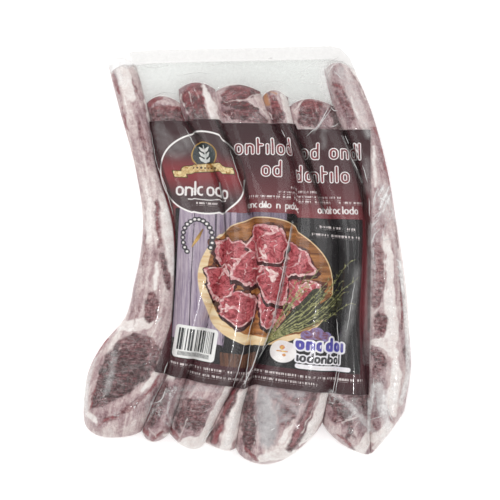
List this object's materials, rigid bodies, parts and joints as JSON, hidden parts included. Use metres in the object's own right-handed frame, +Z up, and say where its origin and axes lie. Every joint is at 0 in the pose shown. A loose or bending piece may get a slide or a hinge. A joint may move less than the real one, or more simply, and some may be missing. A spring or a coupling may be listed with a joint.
{
  "type": "vacuum-packed lamb rib chops",
  "caption": "Frozen lamb rib chops side by side in a clear vacuum pack with a sealed web at the rib ends and a printed label under the film.",
  "frame": {"origin": "on the table under the middle of the pack", "axes": "+Y from the eyes of meat to the heat seal, +X to the right seen from above, +Z up through the label"},
  "size_m": [0.2236, 0.2864, 0.0299],
  "materials": {
    "packed_meat": "gloss film over frosted meat and fat",
    "label_paper": "coated print under film",
    "sticker_paper": "white self-adhesive paper"
  },
  "bodies": {
    "root": {"vacuum_pack": "packed_meat", "label": "label_paper", "barcode_sticker": "sticker_paper"}
  },
  "joints": []
}
